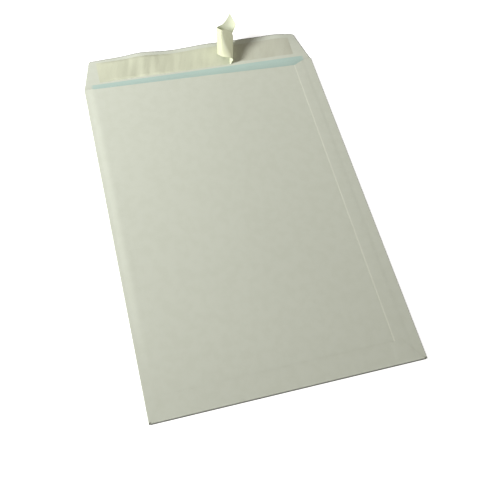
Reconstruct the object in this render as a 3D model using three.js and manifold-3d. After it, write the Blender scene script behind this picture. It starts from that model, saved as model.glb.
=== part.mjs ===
// Self-seal pocket envelope, lying on its address face with the flap open and its liner half peeled.
// Millimetres, +Z up. Origin in the middle of the address face; +Y runs towards the seal flap.
import * as THREE from 'three';
import { mergeVertices } from 'three/addons/utils/BufferGeometryUtils.js';
import Module from 'manifold-3d';

const wasm = await Module();
wasm.setup();

// Pocket
const POCKET_WIDTH = 229;
const POCKET_HEIGHT = 324;
const PAPER = 0.13;
const POCKET_GAP = 0.6;

// Throat: the mouth of the pocket. The back is cut lower than the flap's crease, lowest beside the seam.
const THROAT_DROP_LEFT = 2;
const THROAT_DROP_RIGHT = 7.5;
const SHOULDER_WIDTH = 10;
const SHOULDER_DROP = 0.5;

// Side seam: the back panel stops short of the right fold and a narrow flap is glued over it
const BACK_PANEL_SETBACK = 12;
const SEAM_FLAP_WIDTH_TOP = 20;
const SEAM_FLAP_WIDTH_BOTTOM = 22.3;
const SEAM_FLAP_TOP_DROP = 6;
const SEAM_FLAP_TOP_SLOPE = 1.5;

// Bottom flap, folded up last
const BOTTOM_FLAP_HEIGHT = 20;
const BOTTOM_FLAP_CHAMFER = 14;
const BOTTOM_NOTCH = 1;
const BOTTOM_EDGE_SETBACK = 2;

// Glue lines
const GLUE = 0.04;
const GLUE_INSET = 1.5;
const BOTTOM_GLUE_WIDTH = 12;

// Steps where a flap climbs over the edge of the layer below it
const STEP_RUN = 1.2;
const STEP_CLEARANCE = 0.2;

// Seal strip: adhesive under a release liner
const LINER = 0.1;
const LINER_WIDTH = 24;
const LINER_LENGTH = 197;
const LINER_FROM_CREASE = 6.3;
const ADHESIVE = 0.03;
const ADHESIVE_SIDE_MARGIN = 1.5;
const ADHESIVE_END_MARGIN = 0.5;

// Seal flap round the strip
const FLAP_MARGIN = 3.2;
const FLAP_CROWN = 1.5;
const FLAP_TAPER = 9;
const FLAP_CORNER = 3;

// Peeled liner. Its rulings lean from +Y by these angles and rise from the flap between two lengths.
const PEEL_X = 30.7;
const PEEL_LEAN = 15.7;
const CURL_LEAN = 14;
const CURL_RISE = 47;
const RISE_START = 6.5;
const RISE_END = 24;
const CURL_SLANT = 5.3;
const SLANT_RUN = 20;
const TAIL_LENGTH = 55;
const TAIL_END_SKEW = 4;
// Cross-section of the curl, stretch by stretch: up off the flap, a short settling, round to the left and over,
// round again, then a flatter reach that turns in at the tip
const KICK_LENGTH = 2.6;
const SETTLE_LENGTH = 1.1;
const WRAP_LENGTH = 22.8;
const ROUND_AGAIN_LENGTH = 14.2;
const REACH_LENGTH = 9.5;
const TIP_LENGTH = 18.4;
const CURL_BENDS = [
  { length: KICK_LENGTH, turn: 92 },
  { length: SETTLE_LENGTH, turn: -19 },
  { length: WRAP_LENGTH, turn: 149 },
  { length: ROUND_AGAIN_LENGTH, turn: 120 },
  { length: REACH_LENGTH, turn: 16 },
  { length: TIP_LENGTH, turn: 89 },
];
// The strip sags along its rulings at first, comes back, and then winds up and out of the curl
const SAG_AT = 24;
const SAG = 4;
const RECOVERING_AT = 34;
const RECOVERING_SAG = 1.7;
const WINDING_OUT_AT = 42;
const STEEPER_AT = 48;
const STEEPER_CLIMB = 10.3;
const TIP_AT = 62;
const TIP_CLIMB = 42.6;
const CURL_CLIMB = [
  { at: 0, climb: 0 },
  { at: SAG_AT, climb: -SAG },
  { at: RECOVERING_AT, climb: -RECOVERING_SAG },
  { at: WINDING_OUT_AT, climb: 0 },
  { at: STEEPER_AT, climb: STEEPER_CLIMB },
  { at: TIP_AT, climb: TIP_CLIMB },
];
const BEND_SOFTENING = 2;
const CLIMB_SOFTENING = 4;
const PATH_STEPS = 550;
const TAIL_STEPS = 48;
const TAIL_STRANDS = 8;

// Heights and places that follow from the sizes above
const FOLD_INNER = POCKET_GAP / 2;
const FOLD_OUTER = FOLD_INNER + PAPER;
const HALF_WIDTH = POCKET_WIDTH / 2;
const PANEL_HALF_WIDTH = HALF_WIDTH - FOLD_OUTER;
const CREASE_Y = POCKET_HEIGHT / 2;
const PANEL_BOTTOM = FOLD_OUTER - POCKET_HEIGHT / 2;
const BACK_LEVEL = PAPER + POCKET_GAP;
const LAYER_STEP = PAPER + GLUE;
const THROAT_LEFT = CREASE_Y - THROAT_DROP_LEFT;
const THROAT_RIGHT = CREASE_Y - THROAT_DROP_RIGHT;
const SHOULDER_X = PANEL_HALF_WIDTH - SHOULDER_WIDTH;
const SHOULDER_TOP = CREASE_Y - SHOULDER_DROP;
const BACK_RIGHT = HALF_WIDTH - BACK_PANEL_SETBACK;
const BACK_BOTTOM = BOTTOM_EDGE_SETBACK - POCKET_HEIGHT / 2;
const SEAM_TOP_X = HALF_WIDTH - SEAM_FLAP_WIDTH_TOP;
const SEAM_BOTTOM_X = HALF_WIDTH - SEAM_FLAP_WIDTH_BOTTOM;
const SEAM_TOP = CREASE_Y - SEAM_FLAP_TOP_DROP;
const SEAM_CUT_TOP = SEAM_TOP - SEAM_FLAP_TOP_SLOPE;
const BOTTOM_FLAP_TOP = BOTTOM_FLAP_HEIGHT - POCKET_HEIGHT / 2;
const BOTTOM_HALF_WIDTH = PANEL_HALF_WIDTH - BOTTOM_NOTCH;
const FLAP_SIDE_HEIGHT = LINER_FROM_CREASE + LINER_WIDTH + FLAP_MARGIN;
const LINER_LEVEL = PAPER + ADHESIVE;

const paper = new THREE.MeshStandardMaterial({ color: 0xdfe1cc, roughness: 0.85, metalness: 0 });
const liner = new THREE.MeshStandardMaterial({ color: 0xe9ebd2, roughness: 0.45, metalness: 0 });
const adhesive = new THREE.MeshStandardMaterial({ color: 0xd0d2bd, roughness: 0.25, metalness: 0 });
const glue = new THREE.MeshStandardMaterial({ color: 0xd8d6c4, roughness: 0.6, metalness: 0 });

function shapeThrough(points) {
  return new THREE.Shape(points.map(([x, y]) => new THREE.Vector2(x, y)));
}

// Flat sheet cut to an outline, with its underside at a level
function sheet(shape, level, thickness) {
  const geometry = new THREE.ExtrudeGeometry(shape, { depth: thickness, bevelEnabled: false, curveSegments: 16 });
  return geometry.translate(0, 0, level);
}

// Bend of the paper through half a turn, standing on z = 0, bulging towards +X and running along Y
function foldStrip(length) {
  const section = new THREE.Shape();
  section.absarc(0, 0, FOLD_OUTER, -Math.PI / 2, Math.PI / 2, false);
  section.absarc(0, 0, FOLD_INNER, Math.PI / 2, -Math.PI / 2, true);
  const geometry = new THREE.ExtrudeGeometry(section, { depth: length, bevelEnabled: false, curveSegments: 8 });
  return geometry.translate(0, 0, -length / 2).rotateX(Math.PI / 2).translate(0, 0, FOLD_OUTER);
}

// Closed solid between two grids of points, listed row by row; columns run along +X, rows along +Y
function solidBetween(lower, upper, columns) {
  const rows = lower.length / columns;
  const above = lower.length;
  const index = [];
  const quad = (a, b, c, d) => index.push(a, b, c, a, c, d);
  const at = (row, column) => row * columns + column;
  for (let row = 0; row + 1 < rows; row += 1) {
    for (let column = 0; column + 1 < columns; column += 1) {
      const corners = [at(row, column), at(row, column + 1), at(row + 1, column + 1), at(row + 1, column)];
      const [a, b, c, d] = corners;
      quad(above + a, above + b, above + c, above + d);
      index.push(a, c, b, a, d, c);
    }
  }
  const rim = [];
  for (let column = 0; column < columns; column += 1) rim.push(at(0, column));
  for (let row = 1; row < rows; row += 1) rim.push(at(row, columns - 1));
  for (let column = columns - 2; column >= 0; column -= 1) rim.push(at(rows - 1, column));
  for (let row = rows - 2; row > 0; row -= 1) rim.push(at(row, 0));
  rim.forEach((a, i) => {
    const b = rim[(i + 1) % rim.length];
    quad(a, b, above + b, above + a);
  });
  const geometry = new THREE.BufferGeometry();
  geometry.setIndex(index);
  const points = [...lower, ...upper].flatMap((point) => point.toArray());
  geometry.setAttribute('position', new THREE.Float32BufferAttribute(points, 3));
  return geometry;
}

// Sheet of paper draped over what lies below it, given the height of its underside at each place
function drapedSheet(stationsX, stationsY, undersideAt) {
  const lower = stationsY.flatMap((y) => stationsX.map((x) => new THREE.Vector3(x, y, undersideAt(x, y))));
  const upper = lower.map((point) => point.clone().setZ(point.z + PAPER));
  return solidBetween(lower, upper, stationsX.length);
}

function toManifold(geometry) {
  const bare = geometry.clone();
  bare.deleteAttribute('normal');
  bare.deleteAttribute('uv');
  const merged = mergeVertices(bare);
  return new wasm.Manifold(new wasm.Mesh({
    numProp: 3,
    vertProperties: new Float32Array(merged.attributes.position.array),
    triVerts: new Uint32Array(merged.index.array),
  }));
}

// A draped sheet trimmed to an outline seen from above
function trimmed(geometry, shape) {
  const reach = sheet(shape, 0, POCKET_GAP * 4);
  const mesh = toManifold(geometry).intersect(toManifold(reach)).getMesh();
  const result = new THREE.BufferGeometry();
  result.setAttribute('position', new THREE.Float32BufferAttribute(mesh.vertProperties, 3));
  result.setIndex([...mesh.triVerts]);
  return result;
}

function piece(name, geometry, material) {
  const mesh = new THREE.Mesh(geometry, material);
  mesh.name = name;
  return mesh;
}

// Rises from 0 to 1 between two places, in a straight ramp
function ramp(value, start, end) {
  return THREE.MathUtils.clamp((value - start) / (end - start), 0, 1);
}

function frontPanel() {
  const outline = shapeThrough([
    [-PANEL_HALF_WIDTH, PANEL_BOTTOM],
    [PANEL_HALF_WIDTH, PANEL_BOTTOM],
    [PANEL_HALF_WIDTH, CREASE_Y],
    [-PANEL_HALF_WIDTH, CREASE_Y],
  ]);
  return piece('front_panel', sheet(outline, 0, PAPER), paper);
}

function sideFold(name, side) {
  const fold = piece(name, foldStrip(SHOULDER_TOP - PANEL_BOTTOM), paper);
  fold.rotation.z = side > 0 ? 0 : Math.PI;
  fold.position.set(side * PANEL_HALF_WIDTH, (SHOULDER_TOP + PANEL_BOTTOM) / 2, 0);
  return fold;
}

function bottomFold() {
  const fold = piece('bottom_fold', foldStrip(2 * BOTTOM_HALF_WIDTH), paper);
  fold.rotation.z = -Math.PI / 2;
  fold.position.set(0, PANEL_BOTTOM, 0);
  return fold;
}

function backPanel() {
  const outline = shapeThrough([
    [-PANEL_HALF_WIDTH, BACK_BOTTOM],
    [BACK_RIGHT, BACK_BOTTOM],
    [BACK_RIGHT, THROAT_RIGHT],
    [-SHOULDER_X, THROAT_LEFT],
    [-PANEL_HALF_WIDTH, SHOULDER_TOP],
  ]);
  return piece('back_panel', sheet(outline, BACK_LEVEL, PAPER), paper);
}

// Where the side seam flap lies one layer up, on the back panel, and where it comes down beside it
const seamStepHigh = BACK_RIGHT + STEP_CLEARANCE;
const seamStepLow = seamStepHigh + STEP_RUN;

function sideSeamFlap() {
  const undersideAt = (x) => BACK_LEVEL + LAYER_STEP * ramp(x, seamStepLow, seamStepHigh);
  const stationsX = [SEAM_BOTTOM_X, seamStepHigh, seamStepLow, PANEL_HALF_WIDTH];
  const outline = shapeThrough([
    [SEAM_BOTTOM_X, BACK_BOTTOM],
    [PANEL_HALF_WIDTH, BACK_BOTTOM],
    [PANEL_HALF_WIDTH, SHOULDER_TOP],
    [SHOULDER_X, SEAM_TOP],
    [SEAM_TOP_X, SEAM_CUT_TOP],
  ]);
  const draped = drapedSheet(stationsX, [BACK_BOTTOM, SHOULDER_TOP], undersideAt);
  return piece('side_seam_flap', trimmed(draped, outline), paper);
}

function sideSeamGlue() {
  const outline = shapeThrough([
    [SEAM_TOP_X + GLUE_INSET, BACK_BOTTOM + GLUE_INSET],
    [BACK_RIGHT - GLUE_INSET, BACK_BOTTOM + GLUE_INSET],
    [BACK_RIGHT - GLUE_INSET, SEAM_CUT_TOP - GLUE_INSET],
    [SEAM_TOP_X + GLUE_INSET, SEAM_CUT_TOP - GLUE_INSET],
  ]);
  return piece('side_seam_glue', sheet(outline, BACK_LEVEL + PAPER, GLUE), glue);
}

// The bottom flap climbs over the back panel's bottom edge, and again over the side seam flap
function bottomFlap() {
  const climbEnd = BACK_BOTTOM - STEP_CLEARANCE;
  const climbStart = Math.max(PANEL_BOTTOM, climbEnd - STEP_RUN);
  const bumpLeft = SEAM_BOTTOM_X - STEP_CLEARANCE;
  const bumpRight = seamStepHigh + STEP_CLEARANCE;
  const bumpAt = (x) => Math.min(
    ramp(x, bumpLeft - STEP_RUN, bumpLeft),
    ramp(x, bumpRight + STEP_RUN, bumpRight),
  );
  const undersideAt = (x, y) => BACK_LEVEL + LAYER_STEP * ramp(y, climbStart, climbEnd) * (1 + bumpAt(x));
  const stationsX = [
    -BOTTOM_HALF_WIDTH, bumpLeft - STEP_RUN, bumpLeft, bumpRight, bumpRight + STEP_RUN, BOTTOM_HALF_WIDTH,
  ];
  const stationsY = [...new Set([PANEL_BOTTOM, climbStart, climbEnd, BOTTOM_FLAP_TOP])];
  const outline = shapeThrough([
    [-BOTTOM_HALF_WIDTH, PANEL_BOTTOM],
    [BOTTOM_HALF_WIDTH, PANEL_BOTTOM],
    [BOTTOM_HALF_WIDTH - BOTTOM_FLAP_CHAMFER, BOTTOM_FLAP_TOP],
    [BOTTOM_FLAP_CHAMFER - BOTTOM_HALF_WIDTH, BOTTOM_FLAP_TOP],
  ]);
  const draped = drapedSheet(stationsX, stationsY, undersideAt);
  return piece('bottom_flap', trimmed(draped, outline), paper);
}

function bottomFlapGlue() {
  const top = BOTTOM_FLAP_TOP - GLUE_INSET;
  const left = BOTTOM_FLAP_CHAMFER - BOTTOM_HALF_WIDTH + GLUE_INSET;
  const right = SEAM_BOTTOM_X - STEP_CLEARANCE - STEP_RUN - GLUE_INSET;
  const outline = shapeThrough([
    [left, top - BOTTOM_GLUE_WIDTH],
    [right, top - BOTTOM_GLUE_WIDTH],
    [right, top],
    [left, top],
  ]);
  return piece('bottom_flap_glue', sheet(outline, BACK_LEVEL + PAPER, GLUE), glue);
}

// The seal flap and what it carries are drawn from the crease, where y = 0
function sealFlap() {
  const topHalf = PANEL_HALF_WIDTH - FLAP_TAPER;
  const side = new THREE.Vector2(topHalf - PANEL_HALF_WIDTH, FLAP_SIDE_HEIGHT).setLength(FLAP_CORNER);
  const shape = new THREE.Shape();
  shape.moveTo(-PANEL_HALF_WIDTH, 0);
  shape.lineTo(PANEL_HALF_WIDTH, 0);
  shape.lineTo(topHalf - side.x, FLAP_SIDE_HEIGHT - side.y);
  shape.quadraticCurveTo(topHalf, FLAP_SIDE_HEIGHT, topHalf - FLAP_CORNER, FLAP_SIDE_HEIGHT);
  shape.quadraticCurveTo(0, FLAP_SIDE_HEIGHT + 2 * FLAP_CROWN, FLAP_CORNER - topHalf, FLAP_SIDE_HEIGHT);
  shape.quadraticCurveTo(-topHalf, FLAP_SIDE_HEIGHT, side.x - topHalf, FLAP_SIDE_HEIGHT - side.y);
  return piece('seal_flap', sheet(shape, 0, PAPER), paper);
}

function sealAdhesive() {
  const half = LINER_LENGTH / 2 - ADHESIVE_END_MARGIN;
  const near = LINER_FROM_CREASE + ADHESIVE_SIDE_MARGIN;
  const far = LINER_FROM_CREASE + LINER_WIDTH - ADHESIVE_SIDE_MARGIN;
  const outline = shapeThrough([[-half, near], [half, near], [half, far], [-half, far]]);
  return piece('seal_adhesive', sheet(outline, PAPER, ADHESIVE), adhesive);
}

const peelLean = THREE.MathUtils.degToRad(PEEL_LEAN);

function releaseLiner() {
  const far = LINER_FROM_CREASE + LINER_WIDTH;
  const outline = shapeThrough([
    [-LINER_LENGTH / 2, LINER_FROM_CREASE],
    [PEEL_X, LINER_FROM_CREASE],
    [PEEL_X + LINER_WIDTH * Math.tan(peelLean), far],
    [-LINER_LENGTH / 2, far],
  ]);
  return piece('release_liner', sheet(outline, LINER_LEVEL, LINER), liner);
}

// Straight lines between given values, level outside them
function between(stations, position) {
  const next = stations.findIndex(([at]) => at > position);
  if (next === 0) return stations[0][1];
  if (next < 0) return stations[stations.length - 1][1];
  const [startAt, startValue] = stations[next - 1];
  const [endAt, endValue] = stations[next];
  return THREE.MathUtils.lerp(startValue, endValue, (position - startAt) / (endAt - startAt));
}

// The same values, averaged over a reach to each side so that no corner is left
function softened(stations, reach, position) {
  const samples = 20;
  let sum = 0;
  let weights = 0;
  for (let k = 1 - samples; k < samples; k += 1) {
    const weight = 1 + Math.cos((Math.PI * k) / samples);
    sum += weight * between(stations, position + (reach * k) / samples);
    weights += weight;
  }
  return sum / weights;
}

function headingStations() {
  let at = 0;
  let heading = 0;
  const stations = [[at, heading]];
  for (const bend of CURL_BENDS) {
    at += bend.length;
    heading += THREE.MathUtils.degToRad(bend.turn);
    stations.push([at, heading]);
  }
  return stations;
}

const headings = headingStations();
const climbs = CURL_CLIMB.map(({ at, climb }) => [at, climb]);

// At a length round the curl: the ruling's direction, and the direction the cross-section runs in
function curlDirections(along) {
  const risen = THREE.MathUtils.smoothstep(along, RISE_START, RISE_END);
  const lean = THREE.MathUtils.degToRad(THREE.MathUtils.lerp(PEEL_LEAN, CURL_LEAN, risen));
  const rise = THREE.MathUtils.degToRad(CURL_RISE * risen);
  const ruling = new THREE.Vector3(Math.sin(lean) * Math.cos(rise), Math.cos(lean) * Math.cos(rise), Math.sin(rise));
  const level = new THREE.Vector3(Math.cos(lean), -Math.sin(lean), 0);
  const upward = new THREE.Vector3().crossVectors(level, ruling);
  const heading = softened(headings, BEND_SOFTENING, along);
  const forward = level.multiplyScalar(Math.cos(heading)).addScaledVector(upward, Math.sin(heading));
  return { ruling, forward };
}

// The cross-section's path round the curl, in small steps from the peel line
function curlPath() {
  const step = TAIL_LENGTH / PATH_STEPS;
  const path = [];
  const point = new THREE.Vector3(PEEL_X, LINER_FROM_CREASE, LINER_LEVEL + LINER / 2);
  for (let along = 0; along <= TAIL_LENGTH + step; along += step) {
    path.push(point.clone());
    point.addScaledVector(curlDirections(along + step / 2).forward, step);
  }
  return (along) => {
    const index = Math.min(Math.floor(along / step), path.length - 2);
    return path[index].clone().lerp(path[index + 1], along / step - index);
  };
}

function linerTail() {
  const pathAt = curlPath();
  const slant = THREE.MathUtils.degToRad(CURL_SLANT);
  const rulingLength = LINER_WIDTH / Math.cos(peelLean);
  // A point of the strip's middle surface: share along it, and share across it
  const surfaceAt = (share, across) => {
    const along = (TAIL_LENGTH - TAIL_END_SKEW * across) * share;
    const slanted = THREE.MathUtils.smoothstep(along, 0, SLANT_RUN);
    const turn = Math.max(along - rulingLength * across * Math.tan(slant) * slanted, 0);
    const offset = (rulingLength * across) / Math.cos(slant * slanted) + softened(climbs, CLIMB_SOFTENING, turn);
    return pathAt(turn).addScaledVector(curlDirections(turn).ruling, offset);
  };
  const lower = [];
  const upper = [];
  for (let strand = 0; strand <= TAIL_STRANDS; strand += 1) {
    for (let step = 0; step <= TAIL_STEPS; step += 1) {
      const share = step / TAIL_STEPS;
      const across = strand / TAIL_STRANDS;
      const nudge = 0.5 / TAIL_STEPS;
      const lengthwise = surfaceAt(share + nudge, across).sub(surfaceAt(Math.max(share - nudge, 0), across));
      const crosswise = surfaceAt(share, across + nudge).sub(surfaceAt(share, across - nudge));
      const normal = lengthwise.cross(crosswise).setLength(LINER / 2);
      if (step === 0) normal.set(0, 0, LINER / 2);
      const middle = surfaceAt(share, across);
      lower.push(middle.clone().sub(normal));
      upper.push(middle.clone().add(normal));
    }
  }
  return piece('liner_tail', solidBetween(lower, upper, TAIL_STEPS + 1), liner);
}

const pocket = new THREE.Group();
pocket.add(
  frontPanel(),
  sideFold('left_fold', -1),
  sideFold('right_fold', 1),
  bottomFold(),
  backPanel(),
  sideSeamFlap(),
  sideSeamGlue(),
  bottomFlap(),
  bottomFlapGlue(),
);

const strip = new THREE.Group();
strip.add(releaseLiner(), linerTail());

const flap = new THREE.Group();
flap.position.y = CREASE_Y;
flap.add(sealFlap(), sealAdhesive(), strip);

const envelope = new THREE.Group();
envelope.add(pocket, flap);

export default envelope;
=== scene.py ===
"""A self-seal pocket envelope with its flap open and its liner half peeled, dressed over its CAD model.

Lengths are in metres unless a name ends in _mm. +Y runs up the envelope to the flap, +Z out of its back.
"""
import logging
import math
from dataclasses import dataclass, field
from enum import Enum
from functools import reduce
from typing import Callable

import bpy
from mathutils import Matrix, Vector, noise


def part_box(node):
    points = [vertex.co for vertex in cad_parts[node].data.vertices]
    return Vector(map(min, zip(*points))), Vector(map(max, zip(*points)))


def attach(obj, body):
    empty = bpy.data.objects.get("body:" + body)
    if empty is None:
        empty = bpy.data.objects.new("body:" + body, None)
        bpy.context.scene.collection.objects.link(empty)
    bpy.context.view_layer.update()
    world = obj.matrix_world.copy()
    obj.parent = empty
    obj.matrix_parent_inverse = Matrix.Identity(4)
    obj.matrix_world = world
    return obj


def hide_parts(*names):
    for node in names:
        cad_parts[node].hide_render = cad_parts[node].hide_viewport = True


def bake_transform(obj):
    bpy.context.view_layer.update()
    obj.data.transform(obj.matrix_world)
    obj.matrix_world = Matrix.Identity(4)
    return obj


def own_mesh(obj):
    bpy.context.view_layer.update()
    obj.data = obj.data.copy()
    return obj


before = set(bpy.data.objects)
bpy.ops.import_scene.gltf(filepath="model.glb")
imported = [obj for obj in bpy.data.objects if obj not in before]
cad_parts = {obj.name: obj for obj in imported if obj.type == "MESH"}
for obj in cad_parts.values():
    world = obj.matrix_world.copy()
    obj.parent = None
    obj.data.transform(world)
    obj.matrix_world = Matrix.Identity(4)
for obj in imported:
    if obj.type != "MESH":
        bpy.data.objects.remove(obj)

log = logging.getLogger("envelope")

MM = 0.001
PAPER = 0.13 * MM
GLUE = 0.04 * MM
ACROSS = Vector((1, 0, 0))
ALONG = Vector((0, 1, 0))
ALL_LEVELS = -1.0

FLOAT = "NodeSocketFloat"
COLOUR = "NodeSocketColor"
VECTOR = "NodeSocketVector"

Piece = bpy.types.Object
Material = bpy.types.Material
Socket = bpy.types.NodeSocket
PlaceRule = Callable[[Vector], Vector]


class Body(Enum):
    """The CAD bodies that the pieces ride on."""

    ENVELOPE = "envelope"
    FLAP = "flap"
    LINER = "liner"


class Tone(Enum):
    """Colours as they look on screen, red, green and blue from 0 to 255."""

    PAPER = (212, 217, 203)
    PAPER_SHADE = (208, 213, 198)
    # A painted highlight: the light line along the seam flap's cut edge, where its step catches the light.
    CUT_EDGE = (238, 240, 226)
    # Painted shade: the dark lines along the envelope's right and bottom edges and along the flap's free
    # edges.
    SHADED_EDGE = (120, 122, 116)
    PRINT = (178, 207, 200)
    LINER = (215, 219, 195)
    LINER_SHADE = (195, 199, 176)
    # The peeled liner: the liner's own colour, lightened with painted light for what passes through the
    # thin paper.
    FREE_LINER = (230, 236, 209)
    FREE_LINER_SHADE = (225, 231, 201)
    SILICONE = (216, 219, 188)
    SILICONE_SHADE = (211, 214, 181)
    ADHESIVE = (205, 208, 191)
    ADHESIVE_SHADE = (194, 196, 178)
    GLUE = (206, 204, 188)
    TABLE = (232, 232, 232)
    SKY = (255, 242, 224)
    WHITE = (255, 255, 255)

    def linear(self) -> tuple[float, float, float, float]:
        """The colour as the shaders take it.

        Returns:
            Red, green and blue in linear light, and full alpha.
        """
        parts = [channel / 255 for channel in self.value]
        curved = [((part + 0.055) / 1.055) ** 2.4 if part > 0.04045 else part / 12.92 for part in parts]
        return (curved[0], curved[1], curved[2], 1.0)


def smooth_step(value: float, start: float, end: float) -> float:
    """A share that rises from 0 at start to 1 at end, level at both. Either may be the larger."""
    share = min(max((value - start) / (end - start), 0.0), 1.0)
    return share * share * (3 - 2 * share)


@dataclass(frozen=True)
class Span:
    """The lowest and highest corner of a CAD node."""

    low: Vector
    high: Vector

    @classmethod
    def of(cls, node: str) -> "Span":
        """The span of one CAD node at rest."""
        return cls(*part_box(node))


class ShaderTree:
    """A node tree under construction, with short calls for the nodes that the finishes use."""

    colour_mix_inputs: tuple[int, int, int] = (0, 6, 7)
    colour_mix_output: int = 2

    def __init__(self, tree: bpy.types.NodeTree) -> None:
        """Takes the tree to build in, a material's or a group's."""
        self.tree = tree

    def add(self, kind: str, **settings: object) -> bpy.types.Node:
        """Adds a node.

        Args:
            kind: The node's type name.
            **settings: Properties of the node, by name.

        Returns:
            The new node.
        """
        node = self.tree.nodes.new(kind)
        for name, value in settings.items():
            setattr(node, name, value)
        return node

    def link(self, source: Socket, target: Socket) -> None:
        """Joins an output socket to an input socket."""
        self.tree.links.new(source, target)

    def feed(self, target: Socket, value: object) -> None:
        """Gives an input what another socket puts out, or a constant.

        Args:
            target: The input.
            value: A socket, a number or a colour.
        """
        if isinstance(value, Socket):
            self.link(value, target)
        else:
            target.default_value = value

    def number(self, operation: str, first: object, second: object, clamp: bool = False) -> Socket:
        """Works out a number from two.

        Args:
            operation: The Math node's operation.
            first: A socket or a number.
            second: A socket or a number.
            clamp: Whether the result is kept between 0 and 1.

        Returns:
            The socket that holds the result.
        """
        node = self.add("ShaderNodeMath", operation=operation, use_clamp=clamp)
        self.feed(node.inputs[0], first)
        self.feed(node.inputs[1], second)
        return node.outputs[0]

    def chain(self, operation: str, *values: object) -> Socket:
        """Works a row of sockets or numbers out with one operation, from the left."""
        return reduce(lambda first, second: self.number(operation, first, second), values)

    def split(self, vector: Socket) -> bpy.types.NodeOutputs:
        """Takes a vector apart.

        Args:
            vector: The socket to read.

        Returns:
            The sockets X, Y and Z, by name.
        """
        node = self.add("ShaderNodeSeparateXYZ")
        self.link(vector, node.inputs[0])
        return node.outputs

    def ramp(self, value: Socket, start: float, end: float) -> Socket:
        """Turns a value into a soft mask.

        Args:
            value: The socket to read.
            start: The value where the mask is 0.
            end: The value where it is 1.

        Returns:
            The mask's socket.
        """
        node = self.add("ShaderNodeMapRange", interpolation_type="SMOOTHSTEP")
        node.inputs["From Min"].default_value = start
        node.inputs["From Max"].default_value = end
        self.link(value, node.inputs["Value"])
        return node.outputs["Result"]

    def blend(self, share: object, first: object, second: object) -> Socket:
        """Mixes two colours.

        Args:
            share: How much of the second shows, as a socket or a number.
            first: A colour or a socket.
            second: A colour or a socket.

        Returns:
            The mixed colour's socket.
        """
        node = self.add("ShaderNodeMix", data_type="RGBA")
        for place, value in zip(self.colour_mix_inputs, (share, first, second)):
            self.feed(node.inputs[place], value)
        return node.outputs[self.colour_mix_output]


class EffectGroup:
    """A shader node group with named inputs and outputs."""

    def __init__(self, name: str, inputs: dict[str, str], outputs: dict[str, str]) -> None:
        """Makes the group and its sockets.

        Args:
            name: The group's name.
            inputs: Socket types by name.
            outputs: Socket types by name.
        """
        self.tree = bpy.data.node_groups.new(name, "ShaderNodeTree")
        for label, kind in inputs.items():
            self.tree.interface.new_socket(label, in_out="INPUT", socket_type=kind)
        for label, kind in outputs.items():
            self.tree.interface.new_socket(label, in_out="OUTPUT", socket_type=kind)
        self.shaders = ShaderTree(self.tree)
        self.source = self.shaders.add("NodeGroupInput")
        self.result = self.shaders.add("NodeGroupOutput")

    def place(self, shaders: ShaderTree, **values: object) -> bpy.types.Node:
        """Puts the group in a material.

        Args:
            shaders: The material's tree.
            **values: A number, colour or socket for each input, with _ for a space in its name.

        Returns:
            The group node.
        """
        node = shaders.add("ShaderNodeGroup", node_tree=self.tree)
        for name, value in values.items():
            shaders.feed(node.inputs[name.replace("_", " ")], value)
        return node


class PaperStock(EffectGroup):
    """Paper as it is made: a cloudy body, fine fibre relief, and a slow cockle over the sheet."""

    cloud_range: tuple[float, float] = (0.35, 0.68)
    cloud_share: float = 0.65
    fibre_range: tuple[float, float] = (0.55, 0.8)
    fibre_share: float = 0.35

    def __init__(self) -> None:
        """Builds the group."""
        inputs = {"Vector": VECTOR, "Light Tone": COLOUR, "Dark Tone": COLOUR}
        inputs |= dict.fromkeys(("Cloud Scale", "Fibre Scale", "Cockle Scale", "Cockle"), FLOAT)
        super().__init__("paper stock", inputs, {"Color": COLOUR, "Height": FLOAT})
        clouds = self.noise("Cloud Scale", detail=3.0)
        fibres = self.noise("Fibre Scale", detail=2.0)
        cockle = self.noise("Cockle Scale", detail=1.0)
        shaders = self.shaders
        speck = shaders.number("MULTIPLY", shaders.ramp(fibres, *self.fibre_range), self.fibre_share)
        cloud = shaders.number("MULTIPLY", shaders.ramp(clouds, *self.cloud_range), self.cloud_share)
        body = shaders.number("ADD", cloud, speck, clamp=True)
        tone = shaders.blend(body, self.source.outputs["Light Tone"], self.source.outputs["Dark Tone"])
        waves = shaders.number("MULTIPLY", cockle, self.source.outputs["Cockle"])
        shaders.link(tone, self.result.inputs["Color"])
        shaders.link(shaders.number("ADD", fibres, waves), self.result.inputs["Height"])

    def noise(self, scale: str, detail: float) -> Socket:
        """Adds a noise that reads one of the group's scales.

        Args:
            scale: The input that sets its scale.
            detail: Its detail.

        Returns:
            The noise's value.
        """
        node = self.shaders.add("ShaderNodeTexNoise")
        node.inputs["Detail"].default_value = detail
        self.shaders.link(self.source.outputs["Vector"], node.inputs["Vector"])
        self.shaders.link(self.source.outputs[scale], node.inputs["Scale"])
        return node.outputs["Fac"]


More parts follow.
